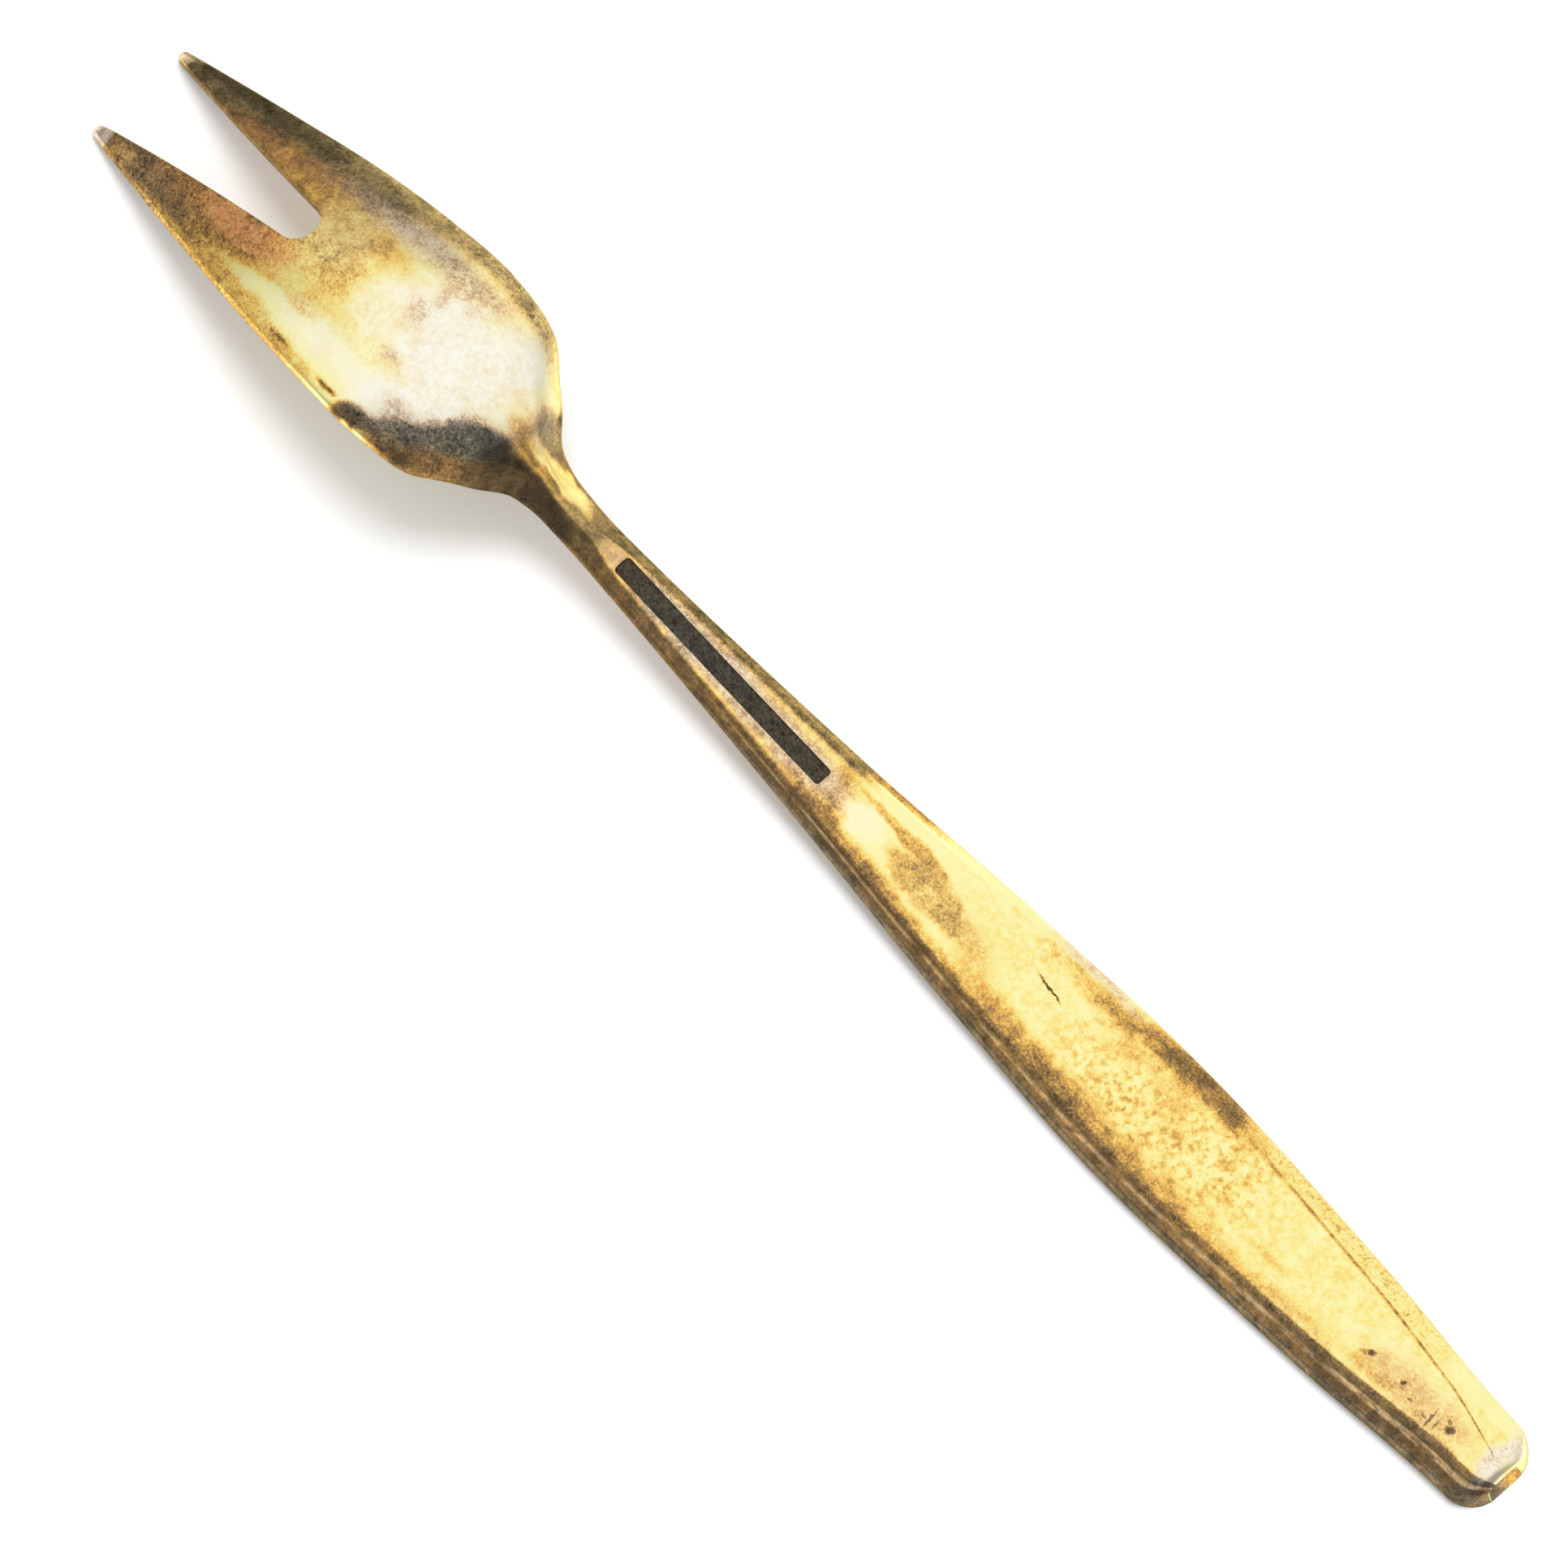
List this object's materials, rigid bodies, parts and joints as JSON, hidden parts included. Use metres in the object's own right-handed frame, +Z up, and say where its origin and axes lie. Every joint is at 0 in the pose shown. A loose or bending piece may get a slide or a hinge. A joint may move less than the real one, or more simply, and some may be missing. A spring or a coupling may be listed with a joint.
{
  "type": "oyster fork",
  "caption": "Small gilt silver oyster fork lying face down: slim tines, dished head, keeled neck and a tapering bevelled handle with a blunt end.",
  "frame": {"origin": "middle of the fork's box, on the table that it lies on", "axes": "+X along the fork from the tine tips to the handle's end, +Z up out of the table, the back of the fork facing up"},
  "size_m": [0.1276, 0.0148, 0.0111],
  "materials": {
    "gilt_silver": "satin"
  },
  "bodies": {
    "root": {"fork": "gilt_silver"}
  },
  "joints": []
}
